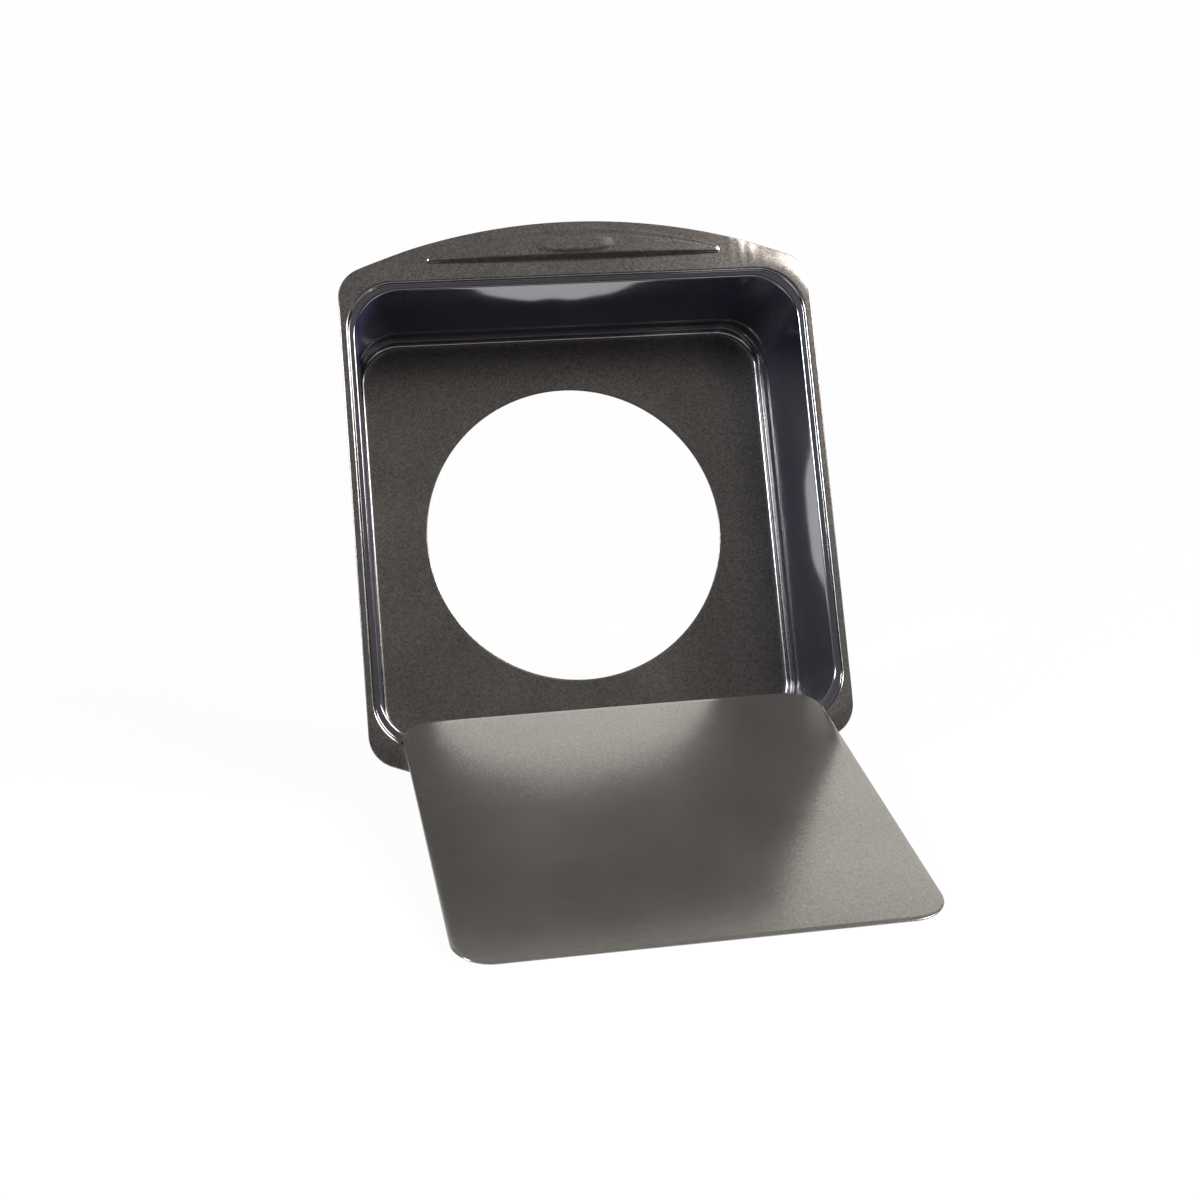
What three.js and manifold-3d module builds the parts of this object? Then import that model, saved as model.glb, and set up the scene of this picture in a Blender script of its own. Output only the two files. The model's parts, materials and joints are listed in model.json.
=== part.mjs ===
// A square cake pan with a loose base, in millimetres, +Z up.
// The pan stands on its side on the edge of its lower handle and on its base corner, leaning back.
// The loose base is out of the pan: its near edge is on the table and its far end leans on the
// two lower corners of the rim. The origin is on the table, below the middle of the whole set.
import * as THREE from "three";
import { mergeVertices } from "three/addons/utils/BufferGeometryUtils.js";
import Module from "manifold-3d";

// Pan: inside sizes and sheet
const BASE_SIDE = 200; // inside, from base fold to base fold
const PAN_DEPTH = 76; // from the inside of the base to the top of the flange
const SHEET = 0.8; // thickness of the pressed steel
const BASE_BEND = 2.5; // inside radius of the fold round the base
const WALL_BEND = 450; // radius of the wall's long curve
const BEND = 0.6; // radius on the tight side of the other folds
const BASE_CORNER = 20; // inside corner radius at the base
const RIM_CORNER = 22; // inside corner radius at the rim
const RING_WIDTH = 27.2; // narrowest width of base left round the hole

// Pan: shallow shoulders above the base fold, each on top of a riser
const SHOULDERS = 2;
const RISER_HEIGHT = 7;
const RISER_FLARE = 0.3; // how far a riser leans outwards
const SHOULDER_WIDTH = 0.5; // how far a shoulder steps outwards
const SHOULDER_RISE = 0.8; // a shoulder climbs this much on its way out

// Pan: walls, rim step and flange
const LOWER_WALL = 32; // height of the wall's steep lower part
const LOWER_DRAFT = 0.4; // how far the lower part leans outwards
const UPPER_DRAFT = 3.1; // how far the upper part leans outwards
const STEP_WIDTH = 1.3; // ledge of the rim step
const STEP_RISE = 0.3; // the step's ledge climbs this much
const STEP_DROP = 1.6; // height of the flange above the step's ledge
const STEP_FLARE = 0.8; // how far the step's riser leans outwards
const FLANGE_SIDE = 3.6; // flat flange along the two plain sides
const FLANGE_CORNER = 15; // outer corner radius of the flange
const HANDLE_BOW = 23; // how far each handle bows out past the plain flange width

// Pan: raised panel on each handle
const PANEL_GAP = 9.2; // from the rim fold to the panel's straight edge
const PANEL_MARGIN = 5.2; // from the panel's arched edge to the handle's edge, at the middle
const PANEL_INSET = 42.3; // from the side of the flange to the panel's end
const PANEL_END = 2.4; // height of the panel's blunt ends
const PANEL_RISE = 0.7; // how far the panel stands up from the flange

// Loose base
const PLATE_SHEET = 0.8;
const PLATE_CLEARANCE = 4; // all round, to the base fold
const PLATE_OVERLAP = 17; // how far the base reaches in past the rim where it leans
const PLATE_SHIFT = 5; // to the right of the pan's middle
const PLATE_TURN = THREE.MathUtils.degToRad(1.7); // about the vertical
const REST_GAP = 0.3; // between the loose base and the rim that it leans on

// Fineness of the round stretches
const FOLD_STEPS = 2;
const CORNER_STEPS = 6;
const SIDE_STEPS = 8; // even, so that each handle has a point at its middle
const CONTACT_STEPS = 12; // places looked at along each stretch of the rim
const BEND_SHARE = 0.45; // most of a short stretch that the bend at one end may take

const wasm = await Module();
wasm.setup();

const quarter = Math.PI / 2;
const vec = (x, y) => new THREE.Vector2(x, y);
const turned = (point, angle) => point.clone().rotateAround(vec(0, 0), angle);

const coating = (color, roughness) =>
  new THREE.MeshStandardMaterial({ color, roughness, metalness: 0.5 });

// The section of the sheet from the base fold to the rim fold, as steps [out, up] between its sharp
// corners. A corner's "out" is half the side of the square at that height.
const baseHalf = BASE_SIDE / 2;
const shouldersTop = SHOULDERS * (RISER_HEIGHT + SHOULDER_RISE);
const upperWall = PAN_DEPTH - STEP_DROP - STEP_RISE - LOWER_WALL - shouldersTop;
const shoulder = [
  [RISER_FLARE, RISER_HEIGHT],
  [SHOULDER_WIDTH, SHOULDER_RISE],
];
const sectionSteps = [
  ...Array(SHOULDERS).fill(shoulder).flat(),
  [LOWER_DRAFT, LOWER_WALL],
  [UPPER_DRAFT, upperWall],
  [STEP_WIDTH, STEP_RISE],
  [STEP_FLARE, STEP_DROP],
];
const section = [vec(baseHalf, 0)];
for (const [out, up] of sectionSteps) {
  section.push(section.at(-1).clone().add(vec(out, up)));
}
const rimFold = section.at(-1).x;
const flangeHalf = rimFold + FLANGE_SIDE;
const handleReach = flangeHalf + HANDLE_BOW;
const holeRadius = baseHalf - RING_WIDTH;

// The section runs in level from the hole and out level to the flange's edge.
const innerLine = [vec(holeRadius, 0), ...section, vec(flangeHalf, PAN_DEPTH)];

// The same line moved by the sheet's thickness to its underside, with mitred corners.
function undersideOf(line) {
  const normals = line.slice(1).map((point, i) => {
    const along = point.clone().sub(line[i]).normalize();
    return vec(along.y, -along.x);
  });
  return line.map((point, i) => {
    const before = normals[Math.max(i - 1, 0)];
    const after = normals[Math.min(i, normals.length - 1)];
    const mitre = before.clone().add(after);
    return point.clone().addScaledVector(mitre, (2 * SHEET) / mitre.lengthSq());
  });
}

// The radius of each fold on its tight side, from the base to the rim.
const bends = section.map(() => BEND);
bends[0] = BASE_BEND;
bends[SHOULDERS * shoulder.length + 1] = WALL_BEND;

// The inner corners of a line, each rounded. A fold is tight on one side of the sheet and wider by
// the sheet's thickness on the other. "tightTurn" is the turn that is tight on this side.
function roundFolds(line, tightTurn) {
  return line.slice(1, -1).flatMap((corner, i) => {
    const back = line[i].clone().sub(corner);
    const ahead = line[i + 2].clone().sub(corner);
    const tight = bends[i];
    const radius = Math.sign(ahead.cross(back)) === tightTurn ? tight : tight + SHEET;
    const halfAngle = Math.acos(back.dot(ahead) / (back.length() * ahead.length())) / 2;
    const room = BEND_SHARE * Math.min(back.length(), ahead.length());
    const reach = Math.min(radius / Math.tan(halfAngle), room);
    const start = corner.clone().addScaledVector(back.normalize(), reach);
    const end = corner.clone().addScaledVector(ahead.normalize(), reach);
    return new THREE.QuadraticBezierCurve(start, corner, end).getPoints(FOLD_STEPS);
  });
}

// Going out along the section, a left turn is a hollow on the inside of the pan.
const LEFT = 1;
const RIGHT = -1;
const insideFolds = roundFolds(innerLine, LEFT);
const undersideFolds = roundFolds(undersideOf(innerLine), RIGHT);

// Points along an arc, both ends included.
function arcPoints(centre, radius, from, to, steps) {
  return Array.from({ length: steps + 1 }, (_, i) => {
    const angle = THREE.MathUtils.lerp(from, to, i / steps);
    return vec(radius * Math.cos(angle), radius * Math.sin(angle)).add(centre);
  });
}

// Points along a straight stretch, its ends left out.
function between(a, b, steps) {
  return Array.from({ length: steps - 1 }, (_, i) => a.clone().lerp(b, (i + 1) / steps));
}

// A square with round corners, counterclockwise from the lower end of its upper right corner.
function roundedSquare(half, corner) {
  const inner = half - corner;
  const arc = arcPoints(vec(inner, inner), corner, 0, quarter, CORNER_STEPS);
  const side = between(arc.at(-1), vec(-inner, half), SIDE_STEPS);
  return [0, 1, 2, 3].flatMap((k) => [...arc, ...side].map((p) => turned(p, k * quarter)));
}

// The flange's edge: straight sides, bowed ends that pass through the square's corners, and round
// corners that touch both. The points match those of a rounded square one for one.
function flangeEdge() {
  const bowRadius = (flangeHalf ** 2 + HANDLE_BOW ** 2) / (2 * HANDLE_BOW);
  const bowCentre = vec(0, handleReach - bowRadius);
  const cornerX = flangeHalf - FLANGE_CORNER;
  const cornerRise = Math.sqrt((bowRadius - FLANGE_CORNER) ** 2 - cornerX ** 2);
  const cornerCentre = vec(cornerX, bowCentre.y + cornerRise);
  const meet = Math.atan2(cornerRise, cornerX);
  const corner = arcPoints(cornerCentre, FLANGE_CORNER, 0, meet, CORNER_STEPS);
  const bow = arcPoints(bowCentre, bowRadius, meet, Math.PI - meet, SIDE_STEPS).slice(1, -1);
  const otherCorner = corner.map((p) => vec(-p.x, p.y)).reverse();
  const side = between(otherCorner.at(-1), vec(-flangeHalf, -cornerCentre.y), SIDE_STEPS);
  const halfEdge = [...corner, ...bow, ...otherCorner, ...side];
  return [0, Math.PI].flatMap((angle) => halfEdge.map((p) => turned(p, angle)));
}

// The hole's edge, with as many points as the other rings and its first ones at the same corner.
function holeEdge(count) {
  const start = Math.PI / 4 - (CORNER_STEPS / count) * Math.PI;
  return arcPoints(vec(0, 0), holeRadius, start, start + 2 * Math.PI, count).slice(0, -1);
}

// The corner radius of the square at a height, on the inside of the sheet.
const cornerAt = (up) => THREE.MathUtils.lerp(BASE_CORNER, RIM_CORNER, up / PAN_DEPTH);
const insideRing = (p) => ({ outline: roundedSquare(p.x, cornerAt(p.y)), up: p.y });
const undersideRing = (p) => ({ outline: roundedSquare(p.x, cornerAt(p.y) + SHEET), up: p.y });

const edge = flangeEdge();
const hole = holeEdge(edge.length);
const insideRings = insideFolds.map(insideRing);
const rings = [
  { outline: hole, up: 0 },
  ...insideRings,
  { outline: edge, up: PAN_DEPTH },
  { outline: edge, up: PAN_DEPTH - SHEET },
  ...undersideFolds.map(undersideRing).reverse(),
  { outline: hole, up: -SHEET },
];

// Skins a closed loop of rings: out along the inside, over the edge and back along the underside.
function skin(loop) {
  const count = loop[0].outline.length;
  const positions = loop.flatMap(({ outline, up }) => outline.flatMap((p) => [p.x, p.y, up]));
  const index = [];
  loop.forEach((_, ring) => {
    const here = ring * count;
    const next = ((ring + 1) % loop.length) * count;
    for (let i = 0; i < count; i++) {
      const j = (i + 1) % count;
      index.push(here + i, next + i, next + j, here + i, next + j, here + j);
    }
  });
  const geometry = new THREE.BufferGeometry();
  geometry.setAttribute("position", new THREE.Float32BufferAttribute(positions, 3));
  geometry.setIndex(index);
  return geometry;
}

function toSolid(geometry) {
  const bare = geometry.clone();
  bare.deleteAttribute("normal");
  bare.deleteAttribute("uv");
  const merged = mergeVertices(bare);
  const vertProperties = new Float32Array(merged.attributes.position.array);
  const triVerts = new Uint32Array(merged.index.array);
  return new wasm.Manifold(new wasm.Mesh({ numProp: 3, vertProperties, triVerts }));
}

function toGeometry(solid) {
  const { vertProperties, triVerts } = solid.getMesh();
  const geometry = new THREE.BufferGeometry();
  geometry.setAttribute("position", new THREE.BufferAttribute(vertProperties, 3));
  geometry.setIndex(new THREE.BufferAttribute(triVerts, 1));
  geometry.computeVertexNormals();
  return geometry;
}

// The handle panel's outline, drawn in by an inset: a straight edge towards the rim, an arched edge
// towards the handle's edge and blunt ends.
function panelOutline(inset) {
  const low = rimFold + PANEL_GAP + inset;
  const half = flangeHalf - PANEL_INSET - inset;
  const shoulder = rimFold + PANEL_GAP + PANEL_END;
  const bow = handleReach - PANEL_MARGIN - inset - shoulder;
  const radius = (half ** 2 + bow ** 2) / (2 * bow);
  const sweep = Math.asin(half / radius);
  const centre = vec(0, shoulder + bow - radius);
  const arch = arcPoints(centre, radius, quarter - sweep, quarter + sweep, SIDE_STEPS);
  return [vec(-half, low), vec(half, low), ...arch];
}

function panelBlock(inset, bottom, top) {
  const shape = new THREE.Shape(panelOutline(inset));
  const block = new THREE.ExtrudeGeometry(shape, { depth: top - bottom, bevelEnabled: false });
  return block.translate(0, 0, bottom);
}

// The sheet is pressed up at each panel, so the underside has the same form, drawn in by the sheet.
function panShell() {
  const underFlange = PAN_DEPTH - SHEET;
  const raised = panelBlock(0, PAN_DEPTH - SHEET / 2, PAN_DEPTH + PANEL_RISE);
  const pressed = panelBlock(SHEET, underFlange - SHEET, underFlange + PANEL_RISE);
  let solid = toSolid(skin(rings));
  for (const angle of [0, Math.PI]) {
    solid = solid.add(toSolid(raised.clone().rotateZ(angle)));
    solid = solid.subtract(toSolid(pressed.clone().rotateZ(angle)));
  }
  const mesh = new THREE.Mesh(toGeometry(solid), coating(0x45423f, 0.4));
  mesh.name = "pan_shell";
  return mesh;
}

// The loose base, flat, with its underside at zero height and its near edge on the X axis.
const plateSide = BASE_SIDE - 2 * PLATE_CLEARANCE;
const plateCorner = BASE_CORNER - PLATE_CLEARANCE;
function looseBase() {
  const shape = new THREE.Shape(roundedSquare(plateSide / 2, plateCorner));
  const geometry = new THREE.ExtrudeGeometry(shape, { depth: PLATE_SHEET, bevelEnabled: false });
  geometry.translate(0, plateSide / 2, 0);
  const mesh = new THREE.Mesh(geometry, coating(0x66615c, 0.35));
  mesh.name = "loose_base";
  return mesh;
}

// Half the width of the loose base at a distance from its near edge, less in its far corners.
function plateHalfWidth(along) {
  const intoCorner = THREE.MathUtils.clamp(along - (plateSide - plateCorner), 0, plateCorner);
  return plateSide / 2 - plateCorner + Math.sqrt(plateCorner ** 2 - intoCorner ** 2);
}

// The table touches the handle's lower edge and the part of the underside that comes nearest to it.
const footUp = PAN_DEPTH - SHEET;
const leans = undersideFolds
  .filter((p) => p.y < footUp / 2)
  .map((p) => Math.atan2(handleReach - p.x, footUp - p.y));
const lean = Math.min(...leans);
const tableDrop = handleReach * Math.cos(lean) - footUp * Math.sin(lean);

const pan = new THREE.Group();
pan.add(panShell());
pan.rotation.x = quarter - lean;
pan.position.z = tableDrop;
pan.updateMatrixWorld(true);

// Places all along the upper half of the pan's inside and its rim, on the standing pan.
const rimPlaces = insideRings
  .filter(({ up }) => up > PAN_DEPTH / 2)
  .flatMap(({ outline, up }) =>
    outline.flatMap((p, i) => {
      const next = outline[(i + 1) % outline.length];
      return [p, ...between(p, next, CONTACT_STEPS)].map((q) => new THREE.Vector3(q.x, q.y, up));
    }),
  )
  .filter((place) => place.y < 0)
  .map((place) => place.applyMatrix4(pan.matrixWorld));

// The loose base rises from its near edge just enough to clear every place of the lower rim that
// lies below it.
const foldPlace = new THREE.Vector3(0, -rimFold, PAN_DEPTH).applyMatrix4(pan.matrixWorld);
const nearEdge = vec(PLATE_SHIFT, foldPlace.y - (plateSide - PLATE_OVERLAP));
const tilts = rimPlaces.map((place) => {
  const flat = turned(vec(place.x, place.y).sub(nearEdge), -PLATE_TURN);
  const below = flat.y < plateSide && Math.abs(flat.x) < plateHalfWidth(flat.y) + REST_GAP;
  return below ? Math.atan2(place.z + REST_GAP, flat.y) : 0;
});

const plate = new THREE.Group();
plate.add(looseBase());
plate.rotation.set(Math.max(...tilts), 0, PLATE_TURN, "ZYX");
plate.position.set(nearEdge.x, nearEdge.y, 0);

const standingSet = new THREE.Group();
standingSet.add(pan, plate);
const box = new THREE.Box3().setFromObject(standingSet, true);
const middle = box.getCenter(new THREE.Vector3());
standingSet.position.set(-middle.x, -middle.y, -box.min.z);

const group = new THREE.Group();
group.add(standingSet);

export default group;
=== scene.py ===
import json
import math

import bpy
import numpy as np
from mathutils import Matrix, Vector


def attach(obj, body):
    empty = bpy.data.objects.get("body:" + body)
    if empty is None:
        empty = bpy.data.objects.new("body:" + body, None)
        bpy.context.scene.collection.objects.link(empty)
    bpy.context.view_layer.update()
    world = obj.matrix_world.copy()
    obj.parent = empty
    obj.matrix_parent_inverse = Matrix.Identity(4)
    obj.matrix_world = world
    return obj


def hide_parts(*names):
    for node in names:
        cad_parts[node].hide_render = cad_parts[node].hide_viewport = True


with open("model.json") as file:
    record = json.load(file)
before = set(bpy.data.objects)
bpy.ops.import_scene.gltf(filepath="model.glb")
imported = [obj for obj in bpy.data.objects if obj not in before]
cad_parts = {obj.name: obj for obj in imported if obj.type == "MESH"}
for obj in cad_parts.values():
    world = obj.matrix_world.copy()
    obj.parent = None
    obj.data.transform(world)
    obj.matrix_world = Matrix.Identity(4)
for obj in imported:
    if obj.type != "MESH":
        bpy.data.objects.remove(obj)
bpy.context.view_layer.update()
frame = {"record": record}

# The pan: one sheet of steel, deep drawn to a square tin and coated all over with a dark non-stick finish.
# Its base is cut out to a ring, its rim has a small step and turns out to a flat flange, and at two ends the
# flange is drawn out to an arched handle with a raised panel pressed into it.
SHEET = 0.0008
HOLE_RADIUS = 0.0728
BASE_HALF = 0.100
BASE_CORNER = 0.020
RIM_CORNER = 0.022
DEPTH = 0.076

# Runs of the wall's section, each with its way outwards and its way up, and the folds between them.
RISER = (0.0003, 0.0070)
SHOULDER = (0.0005, 0.0008)
LOWER_WALL = (0.0004, 0.0320)
STEP = (0.0026, 0.0002)
STEP_RISER = (0.0007, 0.0014)
UPPER_DRAFT = 0.0023
RIM_HALF = BASE_HALF + 2 * (RISER[0] + SHOULDER[0]) + LOWER_WALL[0] + UPPER_DRAFT + STEP[0] + STEP_RISER[0]
UPPER_WALL = DEPTH - 2 * (RISER[1] + SHOULDER[1]) - LOWER_WALL[1] - STEP[1] - STEP_RISER[1]
FOLD_RADII = np.array([0.0022, 0.0012, 0.0010, 0.0012, 0.0010, 0.450, 0.0009, 0.0005, 0.0012])
FOLD_STEPS = np.array([4, 2, 2, 2, 2, 5, 3, 2, 3])
RUN_STEPS = np.array([1, 2, 1, 2, 1, 2, 2, 1, 1, 1])
BASE_MARGIN = 0.004
RIM_MARGIN = 0.001
FOLD_FADE = 0.0008
WALL_BOW = 0.0007
WALL_RIPPLE = 0.00008
RIPPLES = ((11, 40, 0), (17, -55, 1), (26, 0, 2))

FLANGE_HALF = 0.1108
FLANGE_CORNER = 0.015
HANDLE_REACH = 0.1338
DROOP = 0.15
DROOP_START = 0.003
DROOP_BEND = 0.0015
DROOP_RAMP_X = (-0.012, 0.020)
DROOP_RAMP_Y = (0.002, 0.014)
WRINKLE = 0.00003
WRINKLE_LENGTH = 0.0052
WRINKLE_REACH = 0.006
WRINKLE_MIDDLE = -0.004
WRINKLE_SPREAD = 0.009
WRINKLE_LEAST_Y = 0.001

PANEL_LOW = 0.1164
PANEL_SHOULDER = 0.1188
PANEL_TOP = 0.1286
PANEL_HALF = 0.0685
PANEL_ROUND = 0.0012
PANEL_RISE = 0.0013
PANEL_FADE = 0.5
PANEL_SLOPE = (0.0042, 0.0014)
BADGE_MIDDLE = 0.1226
BADGE_HALF = (0.0165, 0.0035)
BADGE_ROUND = 0.0025
BADGE_RISE = 0.0004
BADGE_SLOPE = 0.0016
BADGE_END_EASE = 0.2

MOUNT_TO_MIDDLE = 0.085
SIDE_STEPS = 14
CORNER_STEPS = 26
HANDLE_STEPS = 72
BASE_STEPS = 9
BEAD_STEPS = 6
FINE_PLACES = 2000
END_CROWD = 5
PANEL_END_SPREAD = 0.0035
BADGE_END_SPREAD = 0.0020
BADGE_END_SHIFT = 0.0005
BEYOND_CROWD = 2
BEYOND_RAMP = 0.004
FLANGE_ROWS = (5, 8, 13, 8, 6)
PANEL_FACE = 2
SLOPE_SHARE = 0.55
SLOPE_LIMIT = 0.35


def mount(name):
    """Point and outward direction of one of the record's mounts, in metres."""
    row = next(m for m in frame["record"]["mounts"] if m["name"] == name)
    return np.array(row["pos_m"]), np.array(row["axis"])


def eased(count):
    """Shares from 0 to 1 that crowd together at both ends: half of 1 less the cosine of an even angle."""
    return 0.5 - 0.5 * np.cos(np.linspace(0, np.pi, count + 1))


def smooth(share):
    """S-shaped step from 0 to 1: three times the square less twice the cube."""
    held = np.clip(share, 0, 1)
    return held * held * (3 - 2 * held)


def rounded_path(corners, radii, arc_steps, run_steps):
    """Path of straight runs with an arc in each corner, and its direction's right-hand normal.

    An arc of radius r that turns by the angle a begins r times tan(a / 2) before its corner. Its points lie
    at even angles on its circle, and the points of a run crowd towards the run's two ends.
    """
    corners = np.array(corners)
    run = np.diff(corners, axis=0)
    heading = np.arctan2(run[:, 1], run[:, 0])
    ahead = np.stack([np.cos(heading), np.sin(heading)], 1)
    turn = np.diff(heading)
    reach = np.abs(radii * np.tan(turn / 2))
    first = corners[:-1] + np.r_[0, reach][:, None] * ahead
    last = corners[1:] - np.r_[reach, 0][:, None] * ahead
    points, headings = [], []
    for k, steps in enumerate(run_steps):
        points.append(first[k] + eased(steps)[:, None] * (last[k] - first[k]))
        headings.append(np.full(steps + 1, heading[k]))
        if k < len(turn):
            angle = heading[k] + turn[k] * np.linspace(0, 1, arc_steps[k] + 1)[1:-1]
            side = np.sign(turn[k]) * radii[k]
            left = np.array([-np.sin(heading[k]), np.cos(heading[k])])
            points.append(last[k] + side * (left - np.stack([-np.sin(angle), np.cos(angle)], 1)))
            headings.append(angle)
    headings = np.concatenate(headings)
    return np.concatenate(points), np.stack([np.sin(headings), -np.cos(headings)], 1)


def all_round(quarter):
    """Quarter of an outline, from the X axis to the Y axis, mirrored in both axes to the whole outline."""
    back = quarter[::-1]
    return np.concatenate([quarter[:-1], (back * [-1, 1])[:-1], -quarter[:-1], (back * [1, -1])[:-1]])


def handle_lines():
    """Places along half a handle, from its end to its middle, closer where the panel and the badge end.

    The density is 1 plus a bell curve at each of those two ends and an S-shaped step beyond the panel. The
    places cut its running sum into even parts.
    """
    along = np.linspace(0, RIM_HALF - RIM_CORNER, FINE_PLACES)
    crowd = 1 + END_CROWD * np.exp(-((along - PANEL_HALF) / PANEL_END_SPREAD) ** 2)
    crowd += END_CROWD * np.exp(-((along - BADGE_HALF[0] + BADGE_END_SHIFT) / BADGE_END_SPREAD) ** 2)
    crowd += BEYOND_CROWD * smooth((along - PANEL_HALF) / BEYOND_RAMP)
    spent = np.cumsum(crowd)
    even = np.linspace(spent[0], spent[-1], HANDLE_STEPS + 1)[:-1]
    return np.interp(even, spent, along)[::-1]


def arc_radius(top, through):
    """Radius of the arc with its top over the middle that passes through a point.

    It is the sum of the squares of the point's way out and of its drop below the top, over twice the drop.
    """
    far, low = through
    return (far ** 2 + (top - low) ** 2) / (2 * (top - low))


def arc_height(x, top, radius):
    """Height over x of an arc with its top over the middle: by Pythagoras from the arc's centre."""
    return top - radius + np.sqrt(radius ** 2 - x ** 2)


HANDLE_BOW = arc_radius(HANDLE_REACH, (FLANGE_HALF, FLANGE_HALF))
PANEL_BOW = arc_radius(PANEL_TOP, (PANEL_HALF, PANEL_SHOULDER))


def handle_edge(x):
    """Edge of the handle over x: an arc through the corners of the flange's square."""
    return arc_height(x, HANDLE_REACH, HANDLE_BOW)


def corner_edge(share):
    """Edge of the flange round its corner and the edge's outward normal, by share of its length.

    The edge runs straight up the side, turns through the corner's arc and goes on along the handle's arc.
    """
    start = RIM_HALF - RIM_CORNER
    bow_y = HANDLE_REACH - HANDLE_BOW
    mid_x = FLANGE_HALF - FLANGE_CORNER
    mid_y = bow_y + math.sqrt((HANDLE_BOW - FLANGE_CORNER) ** 2 - mid_x ** 2)
    meet = math.atan2(mid_y - bow_y, mid_x)
    straight = mid_y - start
    arc = FLANGE_CORNER * meet
    stop = math.acos(start / HANDLE_BOW)
    gone = share * (straight + arc + HANDLE_BOW * (stop - meet))
    angle = np.clip((gone - straight) / FLANGE_CORNER, 0, meet)
    angle = np.where(gone > straight + arc, meet + (gone - straight - arc) / HANDLE_BOW, angle)
    normal = np.stack([np.cos(angle), np.sin(angle)], 1)
    on_side = np.stack([np.full_like(gone, FLANGE_HALF), start + gone], 1)
    on_arc = np.array([mid_x, mid_y]) + FLANGE_CORNER * normal
    on_bow = np.array([0, bow_y]) + HANDLE_BOW * normal
    turned = np.where((gone < straight + arc)[:, None], on_arc, on_bow)
    return np.where((gone < straight)[:, None], on_side, turned), normal


def outline():
    """Lines round the pan, as four arrays of pairs: square, lean, edge and normal.

    A line stands at its place on the unit square and leans out by a unit vector, which turns through a right
    angle in each corner. Its end on the flange's edge and the edge's normal there go with it.
    """
    up = np.linspace(0, 1, SIDE_STEPS + 1)[:-1]
    angle = np.linspace(0, np.pi / 2, CORNER_STEPS + 1)
    x = handle_lines()
    inner = RIM_HALF - RIM_CORNER
    ones, none = np.ones_like, np.zeros_like
    square = [np.stack([ones(up), up], 1), np.ones((len(angle), 2)), np.stack([x / inner, ones(x)], 1)]
    lean = [np.stack([ones(up), none(up)], 1), np.stack([np.cos(angle), np.sin(angle)], 1),
            np.stack([none(x), ones(x)], 1)]
    turned, turned_normal = corner_edge(angle / (np.pi / 2))
    edge = [np.stack([FLANGE_HALF * ones(up), inner * up], 1), turned, np.stack([x, handle_edge(x)], 1)]
    bowed = x / HANDLE_BOW
    normal = [lean[0], turned_normal, np.stack([bowed, np.sqrt(1 - bowed ** 2)], 1)]
    return tuple(all_round(np.concatenate(part)) for part in (square, lean, edge, normal))


def rounded_distance(distances, radius):
    """Distance to a shape cut by several edges, with its corners rounded: minus inside and plus outside.

    It is the length of the distances past the radius's inner edges, or the largest of them inside, less the
    radius.
    """
    past = np.stack(distances) + radius
    return np.sqrt((np.maximum(past, 0) ** 2).sum(0)) + np.minimum(past.max(0), 0) - radius


def panel_slope(x):
    """Width of the step at the panel's edge over x.

    It is wide in the handle's middle and falls with the square of x to a narrow one at the panel's ends.
    """
    return PANEL_SLOPE[0] + (PANEL_SLOPE[1] - PANEL_SLOPE[0]) * np.minimum(np.abs(x) / PANEL_HALF, 1) ** 2


def pressed_height(x, y):
    """Height of the flange's pressing: an S-shaped step at the panel's edge, and a small one at the badge."""
    panel = rounded_distance([PANEL_LOW - np.abs(y),
                              np.hypot(x, np.abs(y) - (PANEL_TOP - PANEL_BOW)) - PANEL_BOW,
                              np.abs(x) - PANEL_HALF], PANEL_ROUND)
    badge = rounded_distance([BADGE_END_EASE * (np.abs(x) - BADGE_HALF[0]),
                              np.abs(y - BADGE_MIDDLE) - BADGE_HALF[1]], BADGE_ROUND)
    rise = PANEL_RISE * (1 - PANEL_FADE * np.minimum(np.abs(x) / PANEL_HALF, 1) ** 2)
    return rise * smooth(0.5 - panel / panel_slope(x)) + BADGE_RISE * smooth(0.5 - badge / BADGE_SLOPE)


def corner_droop(x, y):
    """How far the flange hangs down at its corners, where the drawn sheet sprang back.

    Beyond its start the droop bends, as a hyperbola, into an even slope. It sets in over a ramp along x and
    one along y, each given by its start and its length. A few shallow wrinkles, a sine along the rim under a
    bell curve, run outwards where the corner meets the handle.
    """
    past_x, past_y = np.abs(x) - (RIM_HALF - RIM_CORNER), np.abs(y) - (RIM_HALF - RIM_CORNER)
    out = np.hypot(np.maximum(past_x, 0), np.maximum(past_y, 0)) - RIM_CORNER
    hang = np.hypot(np.maximum(out - DROOP_START, 0), DROOP_BEND) - DROOP_BEND
    hang *= smooth((past_x - DROOP_RAMP_X[0]) / DROOP_RAMP_X[1])
    hang *= smooth((past_y - DROOP_RAMP_Y[0]) / DROOP_RAMP_Y[1])
    round_corner = RIM_CORNER * np.arctan2(past_x, np.maximum(past_y, WRINKLE_LEAST_Y))
    along = np.where(past_x < 0, past_x, round_corner)
    wrinkle = np.sin(2 * np.pi * along / WRINKLE_LENGTH)
    wrinkle *= np.exp(-((along - WRINKLE_MIDDLE) / WRINKLE_SPREAD) ** 2)
    return DROOP * hang + WRINKLE * wrinkle * smooth(out / WRINKLE_REACH) * (past_y > 0)


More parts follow.
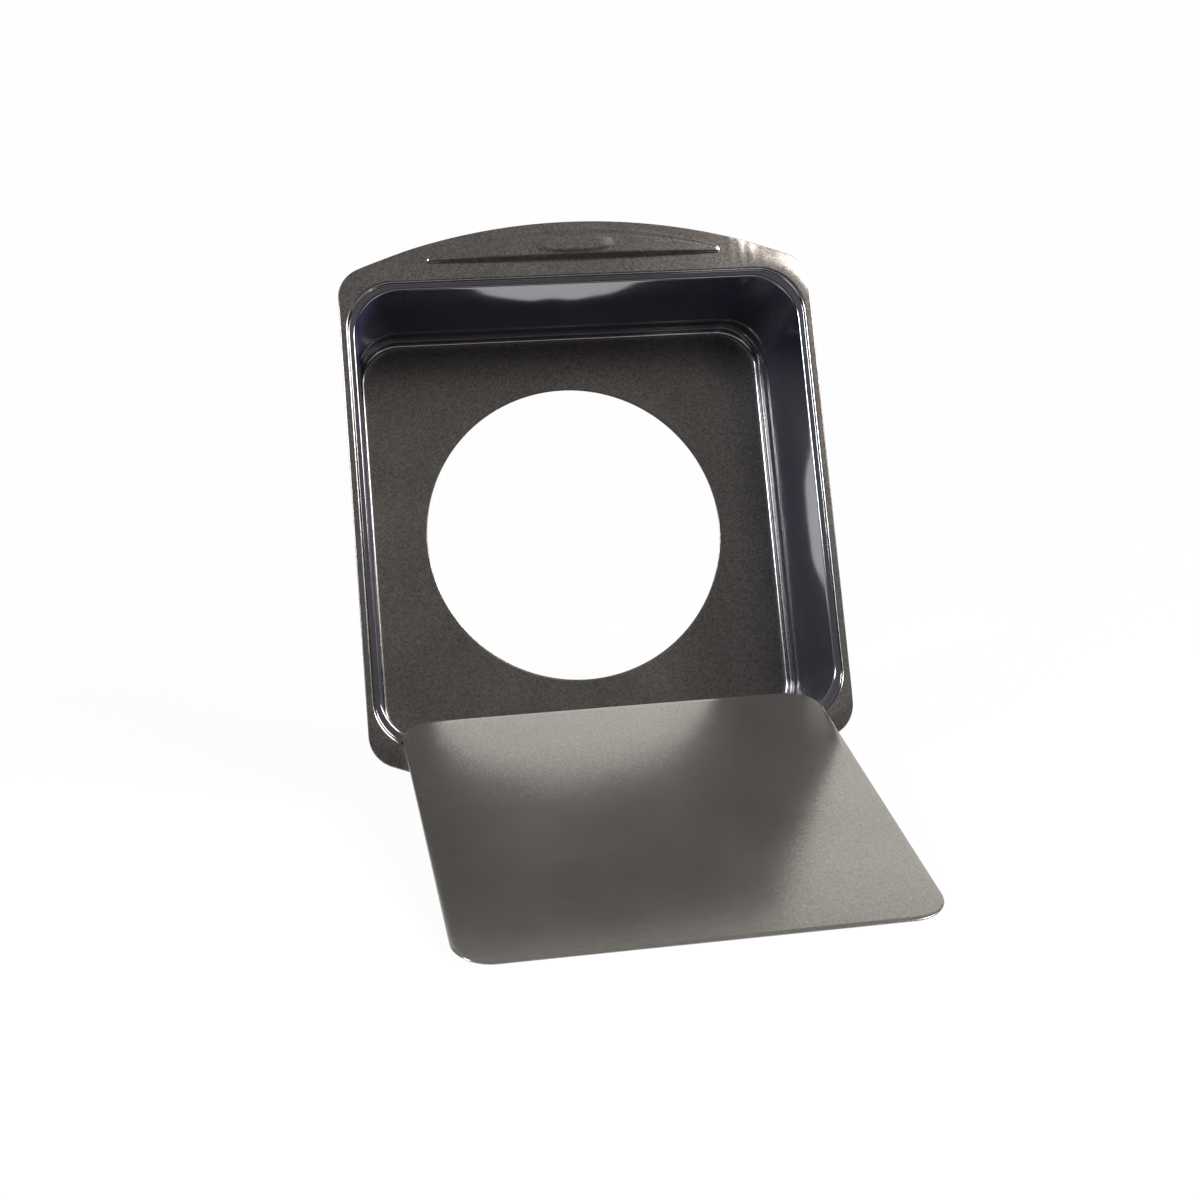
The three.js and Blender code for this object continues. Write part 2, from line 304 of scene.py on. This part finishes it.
def flange_shares(x, y_in, y_out):
    """Shares of the way over the flange for each row, which keep to the panel's edges along the handle.

    The rows lie in five bands: up to the panel, its lower edge, its face, its upper edge and the rest. They
    are even on the panel's face and crowd towards the ends of the other bands.
    """
    held = np.minimum(np.abs(x), PANEL_HALF)
    top = arc_height(held, PANEL_TOP, PANEL_BOW)
    half = np.minimum(SLOPE_SHARE * panel_slope(held), SLOPE_LIMIT * (top - PANEL_LOW))
    stops = [y_in, PANEL_LOW - half, PANEL_LOW + half, top - half, top + half, y_out]
    rows = []
    for band, count in enumerate(FLANGE_ROWS):
        steps = np.linspace(0, 1, count + 1) if band == PANEL_FACE else eased(count)
        rows.append(stops[band] + steps[1:, None] * (stops[band + 1] - stops[band]))
    return (np.concatenate(rows) - y_in) / (y_out - y_in)


def wall_section(detail):
    """Section of the pan's inside from its base to its flange, and the section's normal.

    It is a path through the sums of the runs, with a fold in each corner. The detail multiplies its steps.
    """
    rises = [RISER, SHOULDER, RISER, SHOULDER, LOWER_WALL, (UPPER_DRAFT, UPPER_WALL), STEP, STEP_RISER]
    corners = np.array([BASE_HALF, 0]) + np.cumsum([(0, 0)] + rises, 0)
    ends = corners[0] - [BASE_MARGIN, 0], corners[-1] + [RIM_MARGIN, 0]
    return rounded_path([ends[0], *corners, ends[1]], FOLD_RADII, detail * FOLD_STEPS, detail * RUN_STEPS)


def level(flat, height):
    """Rows of points in the plane with their heights added."""
    return np.concatenate([flat, np.broadcast_to(height, flat.shape[:2] + (1,))], 2)


def wall_rings(square, lean, section, normal, thick):
    """Rings of the wall at a thickness outside its inner face.

    Each ring is a rounded square: the unit square's place times the ring's inner half side, plus the lean
    times its corner radius. Between the shoulders and the step the wall bows in a little and has a slight
    ripple, a sum of sines of the bearing, each with its waves all round, its slant in radians per metre of
    height and its phase.
    """
    out, up = section[:, :1], section[:, 1:]
    corner = BASE_CORNER + (RIM_CORNER - BASE_CORNER) * up / DEPTH
    middle = 1 - np.abs(square).min(1) ** 2
    wall_start, wall_end = 2 * (RISER[1] + SHOULDER[1]), DEPTH - STEP_RISER[1] - STEP[1]
    climb = np.clip((up - wall_start) / (wall_end - wall_start), 0, 1)
    bearing = np.arctan2(square[:, 1], square[:, 0])
    ripple = sum(np.sin(waves * bearing + slant * up + phase) for waves, slant, phase in RIPPLES)
    moved = 4 * climb * (1 - climb) * middle * (WALL_RIPPLE * ripple - WALL_BOW)
    swell = corner + moved + thick * normal[:, :1]
    flat = (out - corner)[:, :, None] * square + swell[:, :, None] * lean
    return level(flat, (up + thick * normal[:, 1:])[:, :, None])


def drawn_mark(section):
    """Mark of each ring of a section: 0 at the base and at the rim, with a short ramp to 1 on the wall."""
    up = section[:, 1]
    return np.clip(np.minimum(up, DEPTH - up) / FOLD_FADE, 0, 1)


def pan_rings():
    """Rings of points round the pan's sheet, and a mark that is 1 on the drawn wall.

    The rings run from the hole over the inside, over the flange and round its edge, and back along the
    outside, which lies one sheet thickness along the section's normal and has half as many rings.
    """
    square, lean, edge, edge_normal = outline()
    fine, coarse = wall_section(2), wall_section(1)
    inside = wall_rings(square, lean, *fine, 0)
    outside = wall_rings(square, lean, *coarse, SHEET)
    bearing = np.arctan2(inside[0, :, 1], inside[0, :, 0])
    spoke = np.stack([np.cos(bearing), np.sin(bearing)], 1)
    bead = SHEET / 2
    turn = np.linspace(1.5, 0.5, BEAD_STEPS + 1)[:, None, None] * np.pi
    hole_edge = level((HOLE_RADIUS + bead + bead * np.cos(turn)) * spoke, -bead + bead * np.sin(turn))
    share = eased(BASE_STEPS)[1:-1, None, None]
    base = hole_edge[-1] + share * (inside[0] - hole_edge[-1])
    base_back = outside[0] + share * (hole_edge[0] - outside[0])

    lip, rim = edge - bead * edge_normal, inside[-1, :, :2]
    on_handle = (np.abs(square[:, 1]) == 1) & (np.abs(square[:, 0]) < 1)
    x = np.where(on_handle, rim[:, 0], RIM_HALF - RIM_CORNER)
    y_out = np.where(on_handle, np.abs(lip[:, 1]), handle_edge(x) - bead)
    shares = flange_shares(x, np.abs(rim[:, 1]).max(), y_out)[:, :, None]
    flat = rim + shares * (lip - rim)
    height = DEPTH + pressed_height(flat[..., 0], flat[..., 1]) - corner_droop(flat[..., 0], flat[..., 1])
    flange = level(flat, height[..., None])
    flange_back = (flange - [0, 0, SHEET])[::-2]
    turn = np.linspace(0.5, -0.5, BEAD_STEPS + 1)[1:-1, None, None] * np.pi
    edge_height = height[-1][:, None] - bead + bead * np.sin(turn)
    flange_edge = level(lip + bead * np.cos(turn) * edge_normal, edge_height)

    parts = [(hole_edge, 0), (base, 0), (inside, drawn_mark(fine[0])), (flange, 0), (flange_edge, 0),
             (flange_back, 0), (outside[::-1], drawn_mark(coarse[0])[::-1]), (base_back, 0)]
    marks = [np.broadcast_to(mark, len(rings)) for rings, mark in parts]
    return np.concatenate([rings for rings, mark in parts]), np.concatenate(marks)


def ring_faces(rings, points):
    """Four-sided faces of a sheet that closes on itself both ways.

    Each ring joins the next and the last joins the first, and so do the points of each ring.
    """
    i, j = np.meshgrid(np.arange(rings), np.arange(points), indexing="ij")
    after, on = (i + 1) % rings, (j + 1) % points
    corners = [i * points + j, after * points + j, after * points + on, i * points + on]
    return np.stack(corners, 2).reshape(-1, 4)


def new_piece(name, places, faces):
    """Object at the origin from points in metres and four-sided faces, with smooth shading."""
    mesh = bpy.data.meshes.new(name)
    mesh.from_pydata(places.tolist(), [], faces.tolist())
    mesh.polygons.foreach_set("use_smooth", np.ones(len(faces), bool))
    mesh.update()
    piece = bpy.data.objects.new(name, mesh)
    bpy.context.collection.objects.link(piece)
    return piece


CLOUD_SCALE = 22
CLOUD_DETAIL = 5
CLOUD_NOISE = (0.3, 0.7)
CLOUD_SHADE = (0.93, 1.07)
# Painted light: a faint blue sheen that stands in for the bluish light the pan's walls catch from the left.
PAINTED_SHEEN_SPREAD = 0.4
PAINTED_SHEEN_TINT = (0.25, 0.31, 1, 1)


def coat_material(name, colour, flake_scale, flake_tint, flake_tilt, metallic, gloss, lie, painted_blue_sheen):
    """Non-stick coat: metal flakes under a dark film.

    Each flake is a cell of a fine Voronoi pattern with its own shade and its own small tilt, and a broad
    noise clouds the colour and the gloss. The colour, the tint of the flakes and the gloss, which is the
    roughness, each have one value for flat sheet and one for the drawn wall. All flakes share one slight
    lean, the vector lie, which is added to the surface's normal. The blue sheen shows at glancing angles;
    it is painted light, which stands in for the bluish light that the walls catch from the left.
    """
    coat = bpy.data.materials.new(name)
    coat.use_nodes = True
    nodes, links = coat.node_tree.nodes, coat.node_tree.links
    shader = nodes["Principled BSDF"]
    shader.inputs["Metallic"].default_value = metallic
    # Painted light: the blue sheen stands in for bluish light falling from the left.
    shader.inputs["Sheen Weight"].default_value = painted_blue_sheen
    shader.inputs["Sheen Roughness"].default_value = PAINTED_SHEEN_SPREAD
    shader.inputs["Sheen Tint"].default_value = PAINTED_SHEEN_TINT
    place = nodes.new("ShaderNodeTexCoord")
    flakes = nodes.new("ShaderNodeTexVoronoi")
    flakes.inputs["Scale"].default_value = flake_scale
    links.new(place.outputs["Object"], flakes.inputs["Vector"])
    cloud = nodes.new("ShaderNodeTexNoise")
    cloud.inputs["Scale"].default_value = CLOUD_SCALE
    cloud.inputs["Detail"].default_value = CLOUD_DETAIL
    links.new(place.outputs["Object"], cloud.inputs["Vector"])
    drawn = nodes.new("ShaderNodeAttribute")
    drawn.attribute_name = "drawn"

    spread = nodes.new("ShaderNodeMapRange")
    spread.inputs["To Min"].default_value = flake_tint[0]
    spread.inputs["To Max"].default_value = flake_tint[1]
    links.new(drawn.outputs["Fac"], spread.inputs["Value"])
    apart = nodes.new("ShaderNodeSeparateColor")
    links.new(flakes.outputs["Color"], apart.inputs["Color"])
    offset = nodes.new("ShaderNodeMapRange")
    offset.inputs["To Min"].default_value = -1
    links.new(apart.outputs["Red"], offset.inputs["Value"])
    shade = nodes.new("ShaderNodeMath")
    shade.operation = "MULTIPLY_ADD"
    shade.inputs[2].default_value = 1
    links.new(offset.outputs["Result"], shade.inputs[0])
    links.new(spread.outputs["Result"], shade.inputs[1])
    clouded = nodes.new("ShaderNodeMapRange")
    clouded.inputs["From Min"].default_value = CLOUD_NOISE[0]
    clouded.inputs["From Max"].default_value = CLOUD_NOISE[1]
    clouded.inputs["To Min"].default_value = CLOUD_SHADE[0]
    clouded.inputs["To Max"].default_value = CLOUD_SHADE[1]
    links.new(cloud.outputs["Fac"], clouded.inputs["Value"])
    both = nodes.new("ShaderNodeMath")
    both.operation = "MULTIPLY"
    links.new(shade.outputs[0], both.inputs[0])
    links.new(clouded.outputs["Result"], both.inputs[1])
    hue = nodes.new("ShaderNodeVectorMath")
    hue.operation = "MULTIPLY_ADD"
    hue.inputs[1].default_value = np.subtract(colour[1], colour[0])
    hue.inputs[2].default_value = colour[0]
    links.new(drawn.outputs["Fac"], hue.inputs[0])
    tint = nodes.new("ShaderNodeVectorMath")
    tint.operation = "SCALE"
    links.new(hue.outputs[0], tint.inputs[0])
    links.new(both.outputs[0], tint.inputs["Scale"])
    links.new(tint.outputs[0], shader.inputs["Base Color"])

    tip = nodes.new("ShaderNodeVectorMath")
    tip.operation = "MULTIPLY_ADD"
    tip.inputs[1].default_value = (flake_tilt,) * 3
    tip.inputs[2].default_value = np.array(lie) - flake_tilt / 2
    links.new(flakes.outputs["Color"], tip.inputs[0])
    facing = nodes.new("ShaderNodeNewGeometry")
    leaned = nodes.new("ShaderNodeVectorMath")
    links.new(facing.outputs["Normal"], leaned.inputs[0])
    links.new(tip.outputs[0], leaned.inputs[1])
    unit = nodes.new("ShaderNodeVectorMath")
    unit.operation = "NORMALIZE"
    links.new(leaned.outputs[0], unit.inputs[0])
    links.new(unit.outputs[0], shader.inputs["Normal"])

    rough = nodes.new("ShaderNodeMapRange")
    rough.inputs["To Min"].default_value = gloss[0]
    rough.inputs["To Max"].default_value = gloss[1]
    links.new(drawn.outputs["Fac"], rough.inputs["Value"])
    cloudy = nodes.new("ShaderNodeMath")
    cloudy.operation = "MULTIPLY"
    links.new(rough.outputs["Result"], cloudy.inputs[0])
    links.new(clouded.outputs["Result"], cloudy.inputs[1])
    links.new(cloudy.outputs[0], shader.inputs["Roughness"])
    return coat


rings, drawn = pan_rings()
under_mount, under_way = mount("base_underside")
pan_up = -under_way
pan_far = np.cross(pan_up, [1, 0, 0])
pan_middle = under_mount + MOUNT_TO_MIDDLE * pan_far + SHEET * pan_up
places = rings.reshape(-1, 3) @ np.stack([np.array([1, 0, 0]), pan_far, pan_up]) + pan_middle
pan = new_piece("coated_pan", places, ring_faces(*rings.shape[:2]))
mark = pan.data.attributes.new("drawn", "FLOAT", "POINT")
mark.data.foreach_set("value", np.repeat(drawn, rings.shape[1]))
# The pan's blue sheen is painted light, for the bluish light its walls catch from the left; the loose base
# has none.
pan.data.materials.append(coat_material(
    "pan_coat", colour=((0.272, 0.248, 0.230), (0.255, 0.250, 0.262)), flake_scale=1600,
    flake_tint=(0.30, 0.06), flake_tilt=0, metallic=0.98, gloss=(0.26, 0.11), lie=(0, 0, 0), painted_blue_sheen=0.16))
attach(pan, "pan")
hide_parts("pan_shell")

# The loose base: a flat square of the same coated steel with rounded corners, stamped from sheet and left
# with a smooth edge. It lies in the pan over the hole, and here it leans on the pan's rim.
PLATE_HALF = 0.096
PLATE_CORNER = 0.016
PLATE_SHEET = 0.0008
PLATE_CROWN = 0.0007
PLATE_WAVE = 0.00012
WAVES_X = (31, 0.6)
WAVES_Y = (27, -0.4)
PLATE_LINES = 64
LINE_POWER = 0.8
PLATE_COLOUR = (0.335, 0.314, 0.284)


def plate_points(half, corner):
    """Square grid with its corners pulled in to arcs.

    The lines stand at a power of their even shares, a little closer near the edges. In a corner cell each
    share is multiplied by the root of 1 less half the square of the other share.
    """
    share = np.linspace(-1, 1, PLATE_LINES + 1)
    line = np.sign(share) * np.abs(share) ** LINE_POWER * half
    x, y = np.meshgrid(line, line, indexing="ij")
    a = np.maximum(np.abs(x) - (half - corner), 0) / corner
    b = np.maximum(np.abs(y) - (half - corner), 0) / corner
    round_x = np.minimum(np.abs(x), half - corner) + corner * a * np.sqrt(1 - b * b / 2)
    round_y = np.minimum(np.abs(y), half - corner) + corner * b * np.sqrt(1 - a * a / 2)
    return np.stack([np.sign(x) * round_x, np.sign(y) * round_y], 2)


def plate_mesh():
    """Points and faces of the loose base: a top and a bottom grid joined by a half-round edge.

    The sheet has a slight crown, the product of 1 less the square of each share, and with it a faint wave,
    the product of a sine along x and a cosine along y, each given by its radians per metre and its phase.
    """
    bead = PLATE_SHEET / 2
    count = PLATE_LINES + 1
    grid = plate_points(PLATE_HALF - bead, PLATE_CORNER - bead)
    number = np.arange(count * count).reshape(count, count)
    border = np.concatenate([number[:-1, 0], number[-1, :-1], number[:0:-1, -1], number[0, :0:-1]])
    loop = grid.reshape(-1, 2)[border]
    wide = plate_points(PLATE_HALF, PLATE_CORNER).reshape(-1, 2)[border]
    turn = np.linspace(0.5, -0.5, BEAD_STEPS + 1)[1:-1, None, None] * np.pi
    edge = level(loop + np.cos(turn) * (wide - loop), -bead + bead * np.sin(turn)).reshape(-1, 3)
    top = np.concatenate([grid.reshape(-1, 2), np.zeros((count * count, 1))], 1)
    low = top - [0, 0, PLATE_SHEET]
    places = np.concatenate([top, low, edge])
    held = np.prod(np.maximum(1 - (places[:, :2] / PLATE_HALF) ** 2, 0), 1)
    wave = np.sin(WAVES_X[0] * places[:, 0] + WAVES_X[1]) * np.cos(WAVES_Y[0] * places[:, 1] + WAVES_Y[1])
    places[:, 2] += held * (PLATE_CROWN + PLATE_WAVE * wave)

    quads = np.stack([number[:-1, :-1], number[1:, :-1], number[1:, 1:], number[:-1, 1:]], 2).reshape(-1, 4)
    edge_number = 2 * count * count + np.arange(len(edge)).reshape(BEAD_STEPS - 1, -1)
    steps = np.concatenate([border[None], edge_number, border[None] + count * count])
    nearer, farther = steps[:-1], steps[1:]
    sides = np.stack([nearer, farther, np.roll(farther, -1, 1), np.roll(nearer, -1, 1)], 2).reshape(-1, 4)
    return places, np.concatenate([quads, quads[:, ::-1] + count * count, sides])


plate_middle, plate_up = mount("loose_base_top")
turn = math.atan2(plate_up[0], -plate_up[1])
plate_right = np.array([math.cos(turn), math.sin(turn), 0])
places, faces = plate_mesh()
places = places @ np.stack([plate_right, np.cross(plate_up, plate_right), plate_up]) + plate_middle
plate = new_piece("coated_base", places, faces)
plate.data.materials.append(coat_material(
    "base_coat", colour=(PLATE_COLOUR, PLATE_COLOUR), flake_scale=1800, flake_tint=(0.15, 0.15),
    flake_tilt=0.010, metallic=0.86, gloss=(0.18, 0.18), lie=(0, 0.033, 0), painted_blue_sheen=0))
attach(plate, "base_plate")
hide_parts("loose_base")

# The studio: a white sweep, one sheet of card that lies as the floor and curves up behind the object.
# It is plain white to the camera and in reflections, and still takes the object's soft shadow.
SWEEP_WIDE = 3.2
SWEEP_FRONT = -0.45
SWEEP_BACK = 1.15
SWEEP_TOP = 1.22
SWEEP_CURVE = 0.30
SWEEP_CURVE_STEPS = 12
SWEEP_RUN_STEPS = (6, 4)
SWEEP_LINES = 9
SWEEP_WHITE = 0.95
CARD_COLOUR = (0.8, 0.8, 0.8, 1)

profile, _ = rounded_path([(SWEEP_FRONT, 0), (SWEEP_BACK, 0), (SWEEP_BACK, SWEEP_TOP)],
                          np.array([SWEEP_CURVE]), (SWEEP_CURVE_STEPS,), SWEEP_RUN_STEPS)
across = np.linspace(-SWEEP_WIDE / 2, SWEEP_WIDE / 2, SWEEP_LINES)
along, wide = np.meshgrid(np.arange(len(profile)), across, indexing="ij")
places = np.stack([wide, profile[along, 0], profile[along, 1]], 2).reshape(-1, 3)
number = np.arange(along.size).reshape(along.shape)
faces = np.stack([number[:-1, :-1], number[:-1, 1:], number[1:, 1:], number[1:, :-1]], 2).reshape(-1, 4)
sweep = new_piece("studio_sweep", places, faces)
card = bpy.data.materials.new("white_card")
card.use_nodes = True
card.cycles.emission_sampling = "NONE"
nodes, links = card.node_tree.nodes, card.node_tree.links
nodes.remove(nodes["Principled BSDF"])
matt = nodes.new("ShaderNodeBsdfDiffuse")
matt.inputs["Color"].default_value = CARD_COLOUR
shine = nodes.new("ShaderNodeEmission")
path = nodes.new("ShaderNodeLightPath")
seen = nodes.new("ShaderNodeMath")
seen.operation = "MAXIMUM"
links.new(path.outputs["Is Camera Ray"], seen.inputs[0])
links.new(path.outputs["Is Glossy Ray"], seen.inputs[1])
clear = nodes.new("ShaderNodeMath")
clear.operation = "MAXIMUM"
links.new(seen.outputs[0], clear.inputs[0])
links.new(path.outputs["Is Transmission Ray"], clear.inputs[1])
part = nodes.new("ShaderNodeMath")
part.operation = "MULTIPLY"
part.inputs[1].default_value = SWEEP_WHITE
links.new(clear.outputs[0], part.inputs[0])
blend = nodes.new("ShaderNodeMixShader")
links.new(part.outputs[0], blend.inputs[0])
links.new(matt.outputs[0], blend.inputs[1])
links.new(shine.outputs[0], blend.inputs[2])
links.new(blend.outputs[0], nodes["Material Output"].inputs["Surface"])
sweep.data.materials.append(card)

# The shade under the leaning pan: a flat dark patch that lies just above the floor.
# Only reflections see it. It stands for the pan's own shade there, which the evenly lit card doesn't show.
SHADE_HALF = 0.11
SHADE_FROM, SHADE_TO = 0.05, 0.155
SHADE_LIFT = 0.0004
SHADE_COLOUR = (0.02, 0.02, 0.02, 1)

places = np.array([(-SHADE_HALF, SHADE_FROM, SHADE_LIFT), (SHADE_HALF, SHADE_FROM, SHADE_LIFT),
                   (SHADE_HALF, SHADE_TO, SHADE_LIFT), (-SHADE_HALF, SHADE_TO, SHADE_LIFT)])
shade = new_piece("floor_shade", places, np.array([[0, 1, 2, 3]]))
dark = bpy.data.materials.new("floor_dark")
dark.use_nodes = True
dark.node_tree.nodes["Principled BSDF"].inputs["Base Color"].default_value = SHADE_COLOUR
shade.data.materials.append(dark)
shade.visible_camera = shade.visible_diffuse = shade.visible_shadow = False

# The room: even white to the camera, and to everything else a dim room that is dark at the floor's height.
# Its light grows with the sine of the elevation up to a steady level.
ROOM_DIM = 0.27
ROOM_LIT_ABOVE = 0.75
ROOM_COLOUR = (1, 1, 1, 1)

world = bpy.data.worlds.new("studio")
world.use_nodes = True
bpy.context.scene.world = world
nodes, links = world.node_tree.nodes, world.node_tree.links
room = nodes["Background"]
room.inputs["Color"].default_value = ROOM_COLOUR
way = nodes.new("ShaderNodeTexCoord")
apart = nodes.new("ShaderNodeSeparateXYZ")
links.new(way.outputs["Generated"], apart.inputs[0])
dusk = nodes.new("ShaderNodeMapRange")
dusk.inputs["From Max"].default_value = ROOM_LIT_ABOVE
dusk.inputs["To Max"].default_value = ROOM_DIM
links.new(apart.outputs["Z"], dusk.inputs["Value"])
links.new(dusk.outputs["Result"], room.inputs["Strength"])
white = nodes.new("ShaderNodeBackground")
white.inputs["Color"].default_value = ROOM_COLOUR
path = nodes.new("ShaderNodeLightPath")
blend = nodes.new("ShaderNodeMixShader")
links.new(path.outputs["Is Camera Ray"], blend.inputs[0])
links.new(room.outputs[0], blend.inputs[1])
links.new(white.outputs[0], blend.inputs[2])
links.new(blend.outputs[0], nodes["World Output"].inputs["Surface"])

# The lamps: two square softboxes, one on each side in front of the object and above it.
# The right one is large and slightly warm, and the left one is small and slightly cool.
LAMP_AIM = Vector((0, 0.06, 0.11))
LAMP_DISTANCE = 1.25


def softbox(name, bearing, height, side, watts, colour):
    """Square area lamp that faces the object.

    Its bearing, to the right from straight in front, and its height are angles in degrees.
    """
    lamp = bpy.data.lights.new(name, "AREA")
    lamp.size, lamp.energy, lamp.color = side, watts, colour
    box = bpy.data.objects.new(name, lamp)
    turn, rise = math.radians(bearing), math.radians(height)
    away = Vector((math.sin(turn) * math.cos(rise), -math.cos(turn) * math.cos(rise), math.sin(rise)))
    box.location = LAMP_AIM + LAMP_DISTANCE * away
    box.rotation_euler = away.to_track_quat("Z", "Y").to_euler()
    box.visible_camera = False
    bpy.context.collection.objects.link(box)


softbox("right_softbox", bearing=65, height=41, side=0.6, watts=21, colour=(1, 0.975, 0.94))
softbox("left_softbox", bearing=-66, height=29, side=0.3, watts=12, colour=(0.86, 0.93, 1))

# The camera: in front of the set, a little to the left and above, as the photograph was taken.
# Its place, its direction and its focal length, in millimetres, were fitted to the photograph's edges.
CAMERA_PLACE = Vector((-0.14341, -0.85397, 0.32253))
CAMERA_AHEAD = Vector((0.15122, 0.95385, -0.25943))
CAMERA_ROLL = math.radians(-1.291)
LENS = 61.65

lens = bpy.data.cameras.new("camera")
lens.lens = LENS
camera = bpy.data.objects.new("camera", lens)
camera.location = CAMERA_PLACE
facing = CAMERA_AHEAD.to_track_quat("-Z", "Y").to_matrix() @ Matrix.Rotation(CAMERA_ROLL, 3, "Z")
camera.rotation_euler = facing.to_euler()
bpy.context.collection.objects.link(camera)
bpy.context.scene.camera = camera

bpy.context.scene.view_settings.view_transform = "Standard"
